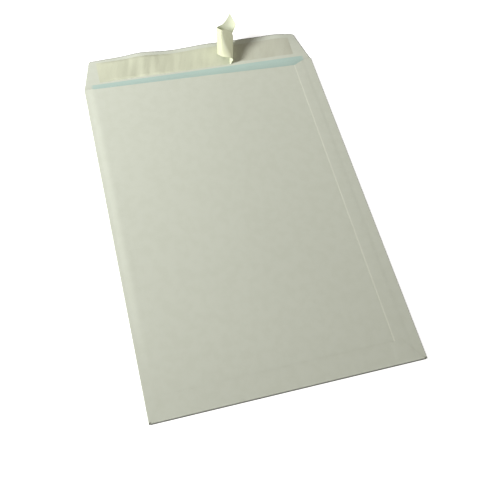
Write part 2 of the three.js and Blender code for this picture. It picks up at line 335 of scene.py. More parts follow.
class InnerPrint(EffectGroup):
    """The tint printed inside the envelope: it ends just above the crease and short of the side folds."""

    top_softness: float = 0.3 * MM
    side_softness: float = 4 * MM
    depth_softness: float = 0.01 * MM
    grain_scale: float = 900.0
    grain_share: float = 0.3
    thinnest_ink: float = 0.8

    def __init__(self) -> None:
        """Builds the group."""
        inputs = {"Vector": VECTOR} | dict.fromkeys(("Top", "Half Width", "Inside", "Strength"), FLOAT)
        super().__init__("inner print", inputs, {"Mask": FLOAT})
        shaders = self.shaders
        given = self.source.outputs
        parts = shaders.split(given["Vector"])
        below = self.within(given["Top"], parts["Y"], self.top_softness)
        reach = shaders.number("ABSOLUTE", parts["X"], 0.0)
        across = self.within(given["Half Width"], reach, self.side_softness)
        above = self.within(parts["Z"], given["Inside"], self.depth_softness)
        grain = shaders.add("ShaderNodeTexNoise")
        grain.inputs["Scale"].default_value = self.grain_scale
        shaders.link(given["Vector"], grain.inputs["Vector"])
        thicker = shaders.number("MULTIPLY", grain.outputs["Fac"], self.grain_share)
        ink = shaders.number("ADD", thicker, self.thinnest_ink, clamp=True)
        inked = shaders.chain("MULTIPLY", below, across, above, ink, given["Strength"])
        shaders.link(inked, self.result.inputs["Mask"])

    def within(self, limit: Socket, value: Socket, soft: float) -> Socket:
        """A mask that is 1 where a value is under a limit, with a soft edge."""
        return self.shaders.ramp(self.shaders.number("SUBTRACT", limit, value), 0.0, soft)


class PaperEdge(EffectGroup):
    """A painted shade and highlight line along an edge of the paper: y = place + slope * x + bow * x * x.
    """

    full_from: float = 0.5

    def __init__(self) -> None:
        """Builds the group."""
        inputs = {"Vector": VECTOR} | dict.fromkeys(("Place", "Slope", "Bow", "Width", "Strength"), FLOAT)
        super().__init__("paper edge", inputs, {"Mask": FLOAT})
        shaders = self.shaders
        given = self.source.outputs
        parts = shaders.split(given["Vector"])
        across = parts["X"]
        slanted = shaders.number("MULTIPLY", across, given["Slope"])
        bowed = shaders.chain("MULTIPLY", across, across, given["Bow"])
        line = shaders.chain("ADD", slanted, bowed, given["Place"])
        gap = shaders.number("ABSOLUTE", shaders.number("SUBTRACT", parts["Y"], line), 0.0)
        share = shaders.number("DIVIDE", gap, given["Width"])
        mask = shaders.ramp(shaders.number("SUBTRACT", 1.0, share), 0.0, self.full_from)
        shaders.link(shaders.number("MULTIPLY", mask, given["Strength"]), self.result.inputs["Mask"])


@dataclass(frozen=True)
class EdgeLine:
    """Where a line of painted shade and highlight runs along an edge of the paper. Slope and bow are those
    of the PaperEdge group.
    """

    place: float
    slope: float = 0.0
    bow: float = 0.0
    width: float = 0.8 * MM
    strength: float = 1.0
    upright: bool = False


@dataclass(frozen=True)
class StockFinish:
    """A finish made of the paper stock, with optional lines of painted shade and highlight along its
    edges, and an inner print.
    """

    name: str
    light: Tone
    dark: Tone
    roughness: float
    cloud_scale: float
    fibre_scale: float
    cockle: float
    cockle_scale: float = 60.0
    relief: float = 0.02 * MM
    stretch: float = 1.0
    turn: float = 0.0
    coat: float = 0.0
    coat_roughness: float = 0.3
    # Lines of painted shade and highlight along edges, and the tone they are painted in.
    edges: tuple[EdgeLine, ...] = ()
    edge_tone: Tone = Tone.CUT_EDGE
    printed: dict[str, float] = field(default_factory=dict)

    def material(self, stock: PaperStock, inner_print: InnerPrint, edge: PaperEdge) -> Material:
        """Builds the material.

        Args:
            stock: The shared paper group.
            inner_print: The shared print group.
            edge: The shared group for painted shade and highlight lines along an edge.

        Returns:
            The finished material.
        """
        made = bpy.data.materials.new(self.name)
        made.use_nodes = True
        shaders = ShaderTree(made.node_tree)
        surface = made.node_tree.nodes["Principled BSDF"]
        place = shaders.add("ShaderNodeTexCoord").outputs["Object"]
        grain = shaders.add("ShaderNodeMapping", vector_type="TEXTURE")
        grain.inputs["Rotation"].default_value = (0, 0, math.radians(self.turn))
        grain.inputs["Scale"].default_value = (1, self.stretch, 1)
        shaders.link(place, grain.inputs["Vector"])
        paper = stock.place(
            shaders,
            Vector=grain.outputs["Vector"],
            Light_Tone=self.light.linear(),
            Dark_Tone=self.dark.linear(),
            Cloud_Scale=self.cloud_scale,
            Fibre_Scale=self.fibre_scale,
            Cockle_Scale=self.cockle_scale,
            Cockle=self.cockle,
        )
        colour = paper.outputs["Color"]
        if self.printed:
            tint = inner_print.place(shaders, Vector=place, **self.printed)
            colour = shaders.blend(tint.outputs["Mask"], colour, Tone.PRINT.linear())
        turn = shaders.add("ShaderNodeMapping")
        turn.inputs["Rotation"].default_value = (0, 0, math.radians(90))
        shaders.link(place, turn.inputs["Vector"])
        # Lines of painted shade and painted highlight along the paper's edges.
        for line in self.edges:
            mark = edge.place(
                shaders,
                Vector=turn.outputs["Vector"] if line.upright else place,
                Place=line.place,
                Slope=line.slope,
                Bow=line.bow,
                Width=line.width,
                Strength=line.strength,
            )
            colour = shaders.blend(mark.outputs["Mask"], colour, self.edge_tone.linear())
        shaders.link(colour, surface.inputs["Base Color"])
        bump = shaders.add("ShaderNodeBump")
        bump.inputs["Distance"].default_value = self.relief
        shaders.link(paper.outputs["Height"], bump.inputs["Height"])
        shaders.link(bump.outputs["Normal"], surface.inputs["Normal"])
        surface.inputs["Roughness"].default_value = self.roughness
        surface.inputs["Coat Weight"].default_value = self.coat
        surface.inputs["Coat Roughness"].default_value = self.coat_roughness
        return made


class Bench:
    """The modelling moves that every sheet of the envelope is made with."""

    smooth_angle: float = math.radians(40)

    @staticmethod
    def pick(piece: Piece) -> None:
        """Selects one object alone and makes it the active one.

        Args:
            piece: The object.
        """
        bpy.ops.object.select_all(action="DESELECT")
        piece.select_set(True)
        bpy.context.view_layer.objects.active = piece

    @staticmethod
    def squares(name: str, columns: int, rows: int, middle: Vector) -> Piece:
        """Lays out a flat sheet of one metre by one, divided into squares.

        Args:
            name: The piece's name.
            columns: How many squares it has across.
            rows: How many it has along.
            middle: Where its middle lies.

        Returns:
            The sheet.
        """
        bpy.ops.object.select_all(action="DESELECT")
        bpy.ops.mesh.primitive_grid_add(
            x_subdivisions=columns, y_subdivisions=rows, size=1, location=middle
        )
        piece = bpy.context.object
        piece.name = name
        return piece

    @classmethod
    def grid(cls, name: str, low: Vector, high: Vector, cell: float) -> Piece:
        """Lays out a flat sheet in small cells.

        Args:
            name: The piece's name.
            low: Its lower left corner; its height is the sheet's level.
            high: Its upper right corner.
            cell: The cells' size.

        Returns:
            The sheet, with its place in its mesh.
        """
        size = high - low
        middle = Vector(((low.x + high.x) / 2, (low.y + high.y) / 2, low.z))
        piece = cls.squares(name, max(2, round(size.x / cell)), max(2, round(size.y / cell)), middle)
        piece.scale = (size.x, size.y, 1)
        bpy.ops.object.transform_apply(location=True, rotation=True, scale=True)
        return piece

    @classmethod
    def cut(cls, piece: Piece, point: Vector, outward: Vector, drop: bool = True) -> None:
        """Cuts a sheet along a straight line.

        Args:
            piece: The sheet.
            point: A point on the line.
            outward: The direction square to the line.
            drop: Whether the side that lies that way goes. If not, the cut only adds a row of points.
        """
        cls.pick(piece)
        bpy.ops.object.mode_set(mode="EDIT")
        bpy.ops.mesh.select_all(action="SELECT")
        bpy.ops.mesh.bisect(plane_co=point, plane_no=outward, clear_outer=drop)
        bpy.ops.object.mode_set(mode="OBJECT")

    @classmethod
    def score(cls, piece: Piece, axis: Vector, distance: float) -> None:
        """Adds a row of points to a sheet, square to an axis and at a distance along it."""
        cls.cut(piece, axis * distance, axis, drop=False)

    @classmethod
    def form(cls, piece: Piece, rule: PlaceRule, thickness: float, offset: float = 1.0) -> None:
        """Moves the points of a sheet to their places and gives it its thickness and smooth shading.

        Args:
            piece: The sheet.
            rule: Gives a point's new place.
            thickness: The sheet's thickness.
            offset: 1 to grow it upwards from the sheet, 0 to grow it to both sides.
        """
        for vertex in piece.data.vertices:
            vertex.co = rule(vertex.co.copy())
        cls.pick(piece)
        wall = piece.modifiers.new("thickness", "SOLIDIFY")
        wall.thickness = thickness
        wall.offset = offset
        bpy.ops.object.modifier_apply(modifier=wall.name)
        bpy.ops.object.shade_smooth_by_angle(angle=cls.smooth_angle)

    @staticmethod
    def dress(piece: Piece, material: Material, slot: str) -> None:
        """Gives a piece its material.

        Args:
            piece: The piece.
            material: Its material.
            slot: Not used.
        """
        piece.data.materials.clear()
        piece.data.materials.append(material)


@dataclass
class Finishes:
    """The materials of the envelope."""

    stock: PaperStock = field(default_factory=PaperStock)
    inner_print: InnerPrint = field(default_factory=InnerPrint)
    edge: PaperEdge = field(default_factory=PaperEdge)
    print_from_crease: float = 4.4 * MM
    print_half_width: float = 108.5 * MM
    print_strength: float = 0.85
    print_level: float = 0.1 * MM
    # Widths of the painted shadow lines along the envelope's right and bottom edges.
    side_shade_width: float = 1.2 * MM
    bottom_shade_width: float = 1.3 * MM

    def __post_init__(self) -> None:
        """Builds each material."""
        self.crease_y = Span.of("seal_flap").low.y
        right = Span.of("right_fold").high.x
        bottom = Span.of("bottom_fold").low.y
        # Painted shadow: dark lines along the envelope's right and bottom edges, where its shadow falls on
        # the table.
        side_shade = EdgeLine(right, width=self.side_shade_width, upright=True)
        outline = (side_shade, EdgeLine(bottom, width=self.bottom_shade_width))
        self.paper = self.sheet("envelope paper", edges=outline, edge_tone=Tone.SHADED_EDGE)
        self.printed_paper = self.sheet("tinted paper", printed=self.print_at(self.print_level))
        streaks = {"stretch": 5.0, "turn": -Curl.peel_lean, "cloud_scale": 75.0}
        self.liner = self.release_paper("release liner", Tone.LINER, Tone.LINER_SHADE, **streaks)
        # The peeled liner's finish: its own colour, lightened with painted light for what passes through
        # the thin paper.
        self.peeled_liner_lit = self.release_paper("release liner, free", Tone.FREE_LINER, Tone.FREE_LINER_SHADE)
        self.silicone = self.release_paper(
            "silicone side of the liner", Tone.SILICONE, Tone.SILICONE_SHADE, coat=0.2
        )
        self.adhesive = self.build(StockFinish(
            "clear adhesive",
            light=Tone.ADHESIVE,
            dark=Tone.ADHESIVE_SHADE,
            roughness=0.4,
            cloud_scale=120.0,
            fibre_scale=900.0,
            cockle=3.0,
            stretch=3.5,
            turn=-Curl.peel_lean,
            coat=0.2,
        ))
        self.glue = self.build(StockFinish(
            "seam glue",
            light=Tone.GLUE,
            dark=Tone.PAPER_SHADE,
            roughness=0.5,
            cloud_scale=90.0,
            fibre_scale=700.0,
            cockle=2.0,
        ))

    def print_at(self, level: float) -> dict[str, float]:
        """The inner print of one sheet.

        Args:
            level: The height above which the sheet is printed.

        Returns:
            The inputs of the InnerPrint group.
        """
        return {
            "Top": self.crease_y + self.print_from_crease,
            "Half_Width": self.print_half_width,
            "Inside": level,
            "Strength": self.print_strength,
        }

    def sheet(self, name: str, **settings: object) -> Material:
        """Builds a finish of the envelope's own paper.

        Args:
            name: The material's name.
            **settings: Painted shade and highlight lines along edges, and the inner print.

        Returns:
            The material.
        """
        return self.build(StockFinish(
            name,
            light=Tone.PAPER,
            dark=Tone.PAPER_SHADE,
            roughness=0.85,
            cloud_scale=130.0,
            fibre_scale=2600.0,
            cockle_scale=28.0,
            cockle=6.0,
            **settings,
        ))

    def release_paper(self, name: str, light: Tone, dark: Tone, **settings: object) -> Material:
        """Builds a finish of the thin, half clear paper of the liner.

        Args:
            name: The material's name.
            light: Its tone.
            dark: The tone of its darker streaks.
            **settings: What differs from side to side.

        Returns:
            The material.
        """
        shared = {"coat": 0.1, "cloud_scale": 200.0, **settings}
        return self.build(StockFinish(
            name,
            light=light,
            dark=dark,
            roughness=0.45,
            fibre_scale=1800.0,
            cockle_scale=120.0,
            cockle=4.0,
            relief=0.012 * MM,
            **shared,
        ))

    def build(self, finish: StockFinish) -> Material:
        """Builds one finish with the shared groups."""
        return finish.material(self.stock, self.inner_print, self.edge)


@dataclass
class Pocket:
    """The pocket: front and folds as the CAD has them, and the sheets of its back."""

    finishes: Finishes
    belly: float = 1.1 * MM
    belly_shoulder: float = 9 * MM
    belly_seam_gap: float = 2 * MM
    belly_full_at: float = -0.2
    belly_run: float = 90 * MM
    mouth_run: float = 60 * MM
    mouth_rest: float = 0.75
    step_run: float = 1.2 * MM
    step_clearance: float = 0.2 * MM
    soft_run: float = 4.5 * MM
    seam_scores: int = 8
    bottom_scores: int = 6
    cell: float = 2 * MM
    shoulder_width: float = 10 * MM
    throat_drop_left: float = 2 * MM
    throat_drop_right: float = 6.9 * MM
    seam_top_setback: float = 20 * MM
    seam_bottom_setback: float = 22.3 * MM
    seam_top_drop: float = 2.4 * MM
    seam_top_slope: float = 4.8 * MM
    # Width and strength of the painted highlight along the seam flap's cut edge.
    seam_highlight_width: float = 1.3 * MM
    seam_highlight_strength: float = 0.45
    bottom_chamfer: float = 14 * MM
    glue_wander: float = 0.4 * MM
    glue_wave: float = 7 * MM
    closed_keep: float = 0.12

    def __post_init__(self) -> None:
        """Reads the places of the CAD panels."""
        self.back = Span.of("back_panel")
        self.seam = Span.of("side_seam_flap")
        self.bottom = Span.of("bottom_flap")
        self.half_width = Span.of("right_fold").high.x
        self.level = self.back.low.z
        self.layer = PAPER + GLUE
        self.panel_half_width = -self.back.low.x
        self.shoulder_x = self.panel_half_width - self.shoulder_width
        self.throat_left = self.finishes.crease_y - self.throat_drop_left
        self.throat_right = self.finishes.crease_y - self.throat_drop_right
        self.seam_top = self.finishes.crease_y - self.seam_top_drop
        self.seam_top_x = self.half_width - self.seam_top_setback
        self.seam_bottom_x = self.half_width - self.seam_bottom_setback
        self.step_high = self.back.high.x + self.step_clearance
        self.step_low = self.step_high + self.soft_run

    def belly_at(self, x: float, y: float) -> float:
        """How far the empty pocket's back stands off its flat place.

        Args:
            x: Place across the envelope.
            y: Place along it.

        Returns:
            The rise, which is nothing at the folds and along the glued seams.
        """
        left = smooth_step(x, self.back.low.x, self.back.low.x + self.belly_shoulder)
        right = smooth_step(x, self.seam.low.x - self.belly_seam_gap, self.belly_full_at * self.half_width)
        low = smooth_step(y, self.bottom.high.y, self.bottom.high.y + self.belly_run)
        mouth = smooth_step(y, self.throat_right - self.mouth_run, self.throat_right)
        return self.belly * left * right * low * (1 - (1 - self.mouth_rest) * mouth)

    def panels(self) -> None:
        """Gives the panels and folds that keep their CAD shape their paper."""
        folds = dict.fromkeys(("left_fold", "right_fold", "bottom_fold"), self.finishes.paper)
        finishes = {"front_panel": self.finishes.printed_paper, **folds}
        for name, material in finishes.items():
            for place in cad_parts[name].material_slots:
                place.material = material
            log.info("%s keeps its solid", name)

    def stretched(self, point: Vector, flat: tuple[float, float], top: float, rise: float) -> Vector:
        """Stretches a flat sheet up to its top edge and raises it with the belly.

        Args:
            point: A point of the sheet.
            flat: The flat sheet's lowest and highest Y.
            top: Where the top edge lies at the point's X.
            rise: How much higher the point lies than the belly.

        Returns:
            The point's new place.
        """
        low, high = flat
        reach = low + (point.y - low) / (high - low) * (top - low)
        return Vector((point.x, reach, point.z + rise + self.belly_at(point.x, reach)))

    def throat_at(self, x: float) -> float:
        """Where the back's top edge lies: lowest at the seam, rising to the left shoulder and the crease.

        Args:
            x: Place across the envelope.

        Returns:
            The edge's place along it.
        """
        if x < -self.shoulder_x:
            share = (-self.shoulder_x - x) / self.shoulder_width
            return self.throat_left + share * (self.back.high.y - self.throat_left)
        share = (x + self.shoulder_x) / (self.back.high.x + self.shoulder_x)
        return self.throat_left + share * (self.throat_right - self.throat_left)

    def seam_top_at(self, x: float) -> float:
        """Where the seam flap's top edge lies: rising to its shoulder, then to the crease.

        Args:
            x: Place across the envelope.

        Returns:
            The edge's place along it.
        """
        if x > self.shoulder_x:
            share = (x - self.shoulder_x) / self.shoulder_width
            return self.seam_top + share * (self.seam.high.y - self.seam_top)
        share = (self.shoulder_x - x) / (self.shoulder_x - self.seam_top_x)
        return self.seam_top - share * self.seam_top_slope

    def back_sheet(self) -> None:
        """The large sheet of the back, with its throat and its slanted left shoulder."""
        low = Vector((self.back.low.x, self.back.low.y, self.level))
        high = Vector((self.back.high.x, self.throat_left, self.level))
        sheet = Bench.grid("back_sheet", low, high, self.cell)
        Bench.score(sheet, ACROSS, -self.shoulder_x)

        def place(point: Vector) -> Vector:
            """Stretches the sheet up to the throat."""
            return self.stretched(point, (low.y, high.y), self.throat_at(point.x), 0.0)

        Bench.form(sheet, place, PAPER)
        self.hand_over(sheet, "back_panel", self.finishes.paper)

    def seam_sheet(self) -> None:
        """The side seam flap: it climbs one layer up onto the back sheet, with a painted highlight along
        its cut edge.
        """
        low = Vector((self.seam.low.x, self.seam.low.y, self.level))
        high = Vector((self.seam.high.x, self.seam_top, self.level))
        sheet = Bench.grid("seam_sheet", low, high, self.cell)
        for step in range(self.seam_scores + 1):
            run = (self.step_low - self.step_high) * step / self.seam_scores
            Bench.score(sheet, ACROSS, self.step_high + run)
        Bench.score(sheet, ACROSS, self.shoulder_x)
        height = self.seam_top - self.seam_top_slope - low.y
        cut = Vector((self.seam_top_x - self.seam_bottom_x, height, 0))
        Bench.cut(sheet, Vector((self.seam_bottom_x, low.y, 0)), Vector((-cut.y, cut.x, 0)).normalized())

        def place(point: Vector) -> Vector:
            """Stretches the sheet up to the seam's top edge and lets it climb the step."""
            rise = self.layer * smooth_step(point.x, self.step_low, self.step_high)
            return self.stretched(point, (low.y, high.y), self.seam_top_at(point.x), rise)

        Bench.form(sheet, place, PAPER)
        slant = cut.x / cut.y
        foot = self.seam_bottom_x - low.y * slant
        # A painted highlight along the seam flap's cut edge, where the step up onto the back catches the
        # light.
        edge = EdgeLine(
            foot, slope=-slant, width=self.seam_highlight_width, strength=self.seam_highlight_strength, upright=True
        )
        paper = self.finishes.sheet("seam flap paper", edges=(edge,))
        self.hand_over(sheet, "side_seam_flap", paper)

    def bottom_sheet(self) -> None:
        """The bottom flap: it climbs onto the back sheet and once more over the side seam."""
        low = Vector((self.bottom.low.x, self.bottom.low.y, self.level))
        high = Vector((self.bottom.high.x, self.bottom.high.y, self.level))
        sheet = Bench.grid("bottom_sheet", low, high, self.cell)
        climb_end = self.back.low.y - self.step_clearance
        climb_start = climb_end - self.step_run
        bump_left = self.seam.low.x - self.step_clearance
        bump_right = self.step_high + self.step_clearance
        for step in range(self.bottom_scores + 1):
            share = step / self.bottom_scores
            Bench.score(sheet, ALONG, climb_start + share * self.step_run)
            Bench.score(sheet, ACROSS, bump_left - share * self.soft_run)
            Bench.score(sheet, ACROSS, bump_right + share * self.soft_run)
        for side in (-1, 1):
            corner = Vector((side * high.x, low.y, 0))
            outward = Vector((side * (high.y - low.y), self.bottom_chamfer, 0)).normalized()
            Bench.cut(sheet, corner, outward)

        def place(point: Vector) -> Vector:
            """Lets the sheet climb what lies under it.

            Args:
                point: A point of the flat sheet.

            Returns:
                The point's new place.
            """
            climb = smooth_step(point.y, climb_start, climb_end)
            left = smooth_step(point.x, bump_left - self.soft_run, bump_left)
            right = smooth_step(point.x, bump_right + self.soft_run, bump_right)
            return Vector((point.x, point.y, point.z + self.layer * climb * (1 + left * right)))

        Bench.form(sheet, place, PAPER)
        self.hand_over(sheet, "bottom_flap", self.finishes.paper)

    def glue_line(self, node: str) -> None:
        """A glue line under a seam, with wandering edges.

        Args:
            node: The glue line's CAD node.
        """
        span = Span.of(node)
        line = Bench.grid(f"{node}_line", span.low, span.high, self.cell)

        def place(point: Vector) -> Vector:
            """Moves a point sideways, in slow waves along the line."""
            across, along = (self.glue_wander * math.sin(at / self.glue_wave) for at in (point.y, point.x))
            return Vector((point.x + across, point.y + along, point.z))

        Bench.form(line, place, GLUE)
        self.hand_over(line, node, self.finishes.glue, "glue")

    def hand_over(self, sheet: Piece, node: str, material: Material, slot: str = "paper") -> None:
        """Dresses a sheet of the back and lets it stand for its CAD node.

        Args:
            sheet: The finished sheet.
            node: The node that it stands for.
            material: Its finish.
            slot: Handed on to Bench.dress.
        """
        Bench.dress(sheet, material, slot)
        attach(sheet, Body.ENVELOPE.value)
        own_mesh(sheet)
        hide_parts(node)
        log.info("%s stands for %s", sheet.name, node)

    def build(self) -> None:
        """Builds the pocket."""
        self.panels()
        self.back_sheet()
        self.seam_sheet()
        self.bottom_sheet()
        self.glue_line("side_seam_glue")
        self.glue_line("bottom_flap_glue")


@dataclass
class SealFlap:
    """The open flap with its crease and its adhesive, in a slow wave from the pull on the liner."""

    finishes: Finishes
    crease_run: float = 1.2 * MM
    crease_cells: int = 8
    # Width and strength of the painted shade line along the flap's free edge and slanted right end.
    edge_shade_width: float = 0.9 * MM
    edge_shade_strength: float = 0.8
    crown: float = 1.5 * MM
    taper: float = 9 * MM
    corner: float = 3 * MM
    corner_cuts: int = 6
    crown_cuts: int = 24
    cell: float = 2 * MM
    closed_keep: float = 0.04
    bow: float = 1.2 * MM
    rise_power: float = 1.2
    hills: tuple[tuple[float, float, float], ...] = (
        (-54 * MM, 14 * MM, 2.0 * MM),
        (-21 * MM, 15 * MM, -1.2 * MM),
        (14 * MM, 14 * MM, 0.9 * MM),
        (54 * MM, 24 * MM, 1.6 * MM),
        (86 * MM, 18 * MM, 2.8 * MM),
    )

    def __post_init__(self) -> None:
        """Reads the places of the CAD flap."""
        self.flap = Span.of("seal_flap")
        self.film = Span.of("seal_adhesive")
        self.crease_y = self.flap.low.y
        self.side_height = self.flap.high.y - self.crown - self.crease_y
        self.shoulder = self.flap.high.x - self.taper
        # Painted shade: dark lines along the flap's free edge and its slanted right end, on the printed
        # inside.
        shade = {"width": self.edge_shade_width, "strength": self.edge_shade_strength}
        edges = (
            EdgeLine(self.flap.high.y, bow=-self.crown / self.shoulder**2, **shade),
            EdgeLine(
                self.flap.high.x + self.crease_y * self.taper / self.side_height,
                slope=self.taper / self.side_height,
                upright=True,
                **shade,
            ),
        )
        printed = self.finishes.print_at(ALL_LEVELS)
        self.inside = self.finishes.sheet(
            "inner face of the flap", edges=edges, edge_tone=Tone.SHADED_EDGE, printed=printed
        )

    def lift_at(self, x: float, y: float) -> float:
        """How far the flap's wave stands off the table.

        Args:
            x: Place across the envelope.
            y: Place along it.

        Returns:
            The rise, nothing at the crease and most at the free edge.
        """
        reach = max(y - self.crease_y, 0.0) / (self.flap.high.y - self.crease_y)
        shares = ((height, (x - centre) / width) for centre, width, height in self.hills)
        hills = sum(height * math.exp(-(share**2)) for height, share in shares)
        arch = self.bow * (1 - (x / self.flap.high.x) ** 2)
        return max(max(arch, 0.0) + hills, 0.0) * reach**self.rise_power

    def on_wave(self, point: Vector) -> Vector:
        """A point of the flat flap, moved to where the wave has it."""
        return point + Vector((0, 0, self.lift_at(point.x, point.y)))

    def trim_sides(self, sheet: Piece) -> None:
        """Cuts the slanted ends of a sheet that lies on the flap's outline.

        Args:
            sheet: The sheet.
        """
        for side in (-1, 1):
            foot = Vector((side * self.flap.high.x, self.crease_y, 0))
            Bench.cut(sheet, foot, Vector((side * self.side_height, self.taper, 0)).normalized())

    def trim_crown(self, sheet: Piece) -> None:
        """Cuts the free edge: a slow arc between two round corners.

        Args:
            sheet: The flap's sheet.
        """
        top = self.crease_y + self.side_height
        side_slant = math.atan2(self.taper, self.side_height)
        inset = self.corner * math.tan((math.radians(90) - side_slant) / 2)
        for side in (-1, 1):
            centre = Vector((side * (self.shoulder - inset), top - self.corner, 0))
            for cut in range(1, self.corner_cuts):
                turn = side_slant + (math.radians(90) - side_slant) * cut / self.corner_cuts
                outward = Vector((side * math.cos(turn), math.sin(turn), 0))
                Bench.cut(sheet, centre + self.corner * outward, outward)
        half = self.shoulder - inset
        for cut in range(self.crown_cuts + 1):
            x = half * (2 * cut / self.crown_cuts - 1)
            height = self.crown * (1 - (x / half) ** 2)
            slope = -2 * self.crown * x / half**2
            Bench.cut(sheet, Vector((x, top + height, 0)), Vector((-slope, 1, 0)).normalized())

    def two_faced(self, sheet: Piece) -> None:
        """Prints the inside of a sheet and leaves its outside plain.

        Args:
            sheet: The sheet.
        """
        sheet.data.materials.clear()
        sheet.data.materials.append(self.inside)
        sheet.data.materials.append(self.finishes.paper)
        for face in sheet.data.polygons:
            face.material_index = 0 if face.normal.z > 0.5 else 1

    def flap_sheet(self) -> None:
        """The flap from just past the crease to its free edge."""
        low = Vector((self.flap.low.x, self.crease_y + self.crease_run, 0))
        high = Vector((self.flap.high.x, self.flap.high.y, 0))
        sheet = Bench.grid("flap_sheet", low, high, self.cell)
        self.trim_sides(sheet)
        self.trim_crown(sheet)
        Bench.form(sheet, self.on_wave, PAPER)
        self.two_faced(sheet)
        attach(sheet, Body.FLAP.value)
        self.flatten(sheet)
        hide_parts("seal_flap")
        log.info("%s stands for seal_flap", sheet.name)

    def crease_strip(self) -> None:
        """The paper at the crease, between the pocket and the flap."""
        low = Vector((self.flap.low.x, self.crease_y, 0))
        high = Vector((self.flap.high.x, self.crease_y + self.crease_run, 0))
        strip = Bench.grid("crease_strip", low, high, self.crease_run / self.crease_cells)
        self.trim_sides(strip)
        Bench.form(strip, self.on_wave, PAPER)
        self.two_faced(strip)
        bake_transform(strip)
        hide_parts("seal_flap")
        log.info("%s bends between the pocket and the flap", strip.name)

    def adhesive_film(self) -> None:
        """The adhesive on the flap, bare where the liner has gone."""
        sheet = Bench.grid("adhesive_film", self.film.low, self.film.high, self.cell)
        Bench.form(sheet, self.on_wave, self.film.high.z - self.film.low.z)
        Bench.dress(sheet, self.finishes.adhesive, "adhesive")
        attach(sheet, Body.FLAP.value)
        self.flatten(sheet)
        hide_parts("seal_adhesive")
        log.info("%s stands for seal_adhesive", sheet.name)

    def flatten(self, piece: Piece) -> None:
        """Gives a piece its own mesh."""
        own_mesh(piece)

    def build(self) -> None:
        """Builds the flap."""
        self.flap_sheet()
        self.crease_strip()
        self.adhesive_film()


@dataclass
class Curl:
    """The peeled liner, a little looser than its CAD solid, in millimetres and degrees.

    Its rulings lean from +Y and rise from the flap on the way, while the cross-section turns round.
    """

    origin_mm: Vector
    ruling_mm: float
    peel_lean: float = 15.7
    curl_lean: float = 5.0
    curl_rise: float = 62.7
    rise_start: float = 2.1
    rise_end: float = 21.3
    slant: float = 3.9
    slant_run: float = 21.3
    length: float = 56.3
    end_skew: float = 4.7
    bends: tuple[tuple[float, float], ...] = (
        (2.6, 92.0),
        (2.4, -36.1),
        (5.6, 115.3),
        (10.9, 62.5),
        (16.4, 90.0),
        (9.3, 15.7),
        (18.2, 92.0),
    )
    climbs: tuple[tuple[float, float], ...] = (
        (0.0, 0.0),
        (24.0, 3.3),
        (34.0, 1.6),
        (42.0, 2.1),
        (48.0, 7.5),
        (62.0, 39.3),
    )
    bend_softening: float = 2.0
    climb_softening: float = 4.0
    path_steps: int = 550

    def __post_init__(self) -> None:
        """Works out the headings at the ends of the stretches, and the path of the cross-section."""
        along = 0.0
        heading = 0.0
        self.headings = [(along, heading)]
        for length, turn in self.bends:
            along += length
            heading += math.radians(turn)
            self.headings.append((along, heading))
        step = self.length / self.path_steps
        point = self.origin_mm.copy()
        self.path = []
        for index in range(self.path_steps + 2):
            self.path.append(point.copy())
            point += self.directions((index + 0.5) * step)[1] * step

    @staticmethod
    def between(stations: list[tuple[float, float]], position: float) -> float:
        """Straight lines between given values, level outside them.

        Args:
            stations: Positions in order, each with its value.
            position: Where to look.

        Returns:
            The value there.
        """
        if position <= stations[0][0]:
            return stations[0][1]
        for (start, first), (end, second) in zip(stations, stations[1:]):
            if position < end:
                return first + (second - first) * (position - start) / (end - start)
        return stations[-1][1]

    @classmethod
    def softened(cls, stations: list[tuple[float, float]], reach: float, position: float) -> float:
        """The same values averaged over a reach to each side, so that no corner is left.

        Args:
            stations: Positions in order, each with its value.
            reach: How far the average looks to each side.
            position: Where to look.

        Returns:
            The averaged value.
        """
        samples = 20
        total = 0.0
        weights = 0.0
        for sample in range(1 - samples, samples):
            weight = 1 + math.cos(math.pi * sample / samples)
            total += weight * cls.between(stations, position + reach * sample / samples)
            weights += weight
        return total / weights

    def directions(self, along: float) -> tuple[Vector, Vector]:
        """The way the rulings point and the way the cross-section runs.

        Args:
            along: A length round the curl.

        Returns:
            Both as unit vectors.
        """
        risen = smooth_step(along, self.rise_start, self.rise_end)
        lean = math.radians(self.peel_lean + (self.curl_lean - self.peel_lean) * risen)
        rise = math.radians(self.curl_rise * risen)
        run = math.cos(rise)
        ruling = Vector((math.sin(lean) * run, math.cos(lean) * run, math.sin(rise)))
        level = Vector((math.cos(lean), -math.sin(lean), 0))
        upward = level.cross(ruling)
        heading = self.softened(self.headings, self.bend_softening, along)
        return ruling, level * math.cos(heading) + upward * math.sin(heading)

    def point(self, share: float, across: float) -> Vector:
        """A point of the strip's middle surface.

        Args:
            share: Share of the way along the strip, from the peel line.
            across: Share of the way across it, from its lower edge.

        Returns:
            The point, in metres.
        """
        along = (self.length - self.end_skew * across) * share
        slanted = smooth_step(along, 0.0, self.slant_run)
        slant = math.radians(self.slant)
        width = self.ruling_mm * across
        turn = max(along - width * math.tan(slant) * slanted, 0.0)
        climb = self.softened(self.climbs, self.climb_softening, turn)
        position = turn / self.length * self.path_steps
        index = min(int(position), len(self.path) - 2)
        base = self.path[index].lerp(self.path[index + 1], position - index)
        return (base + self.directions(turn)[0] * (width / math.cos(slant * slanted) + climb)) * MM


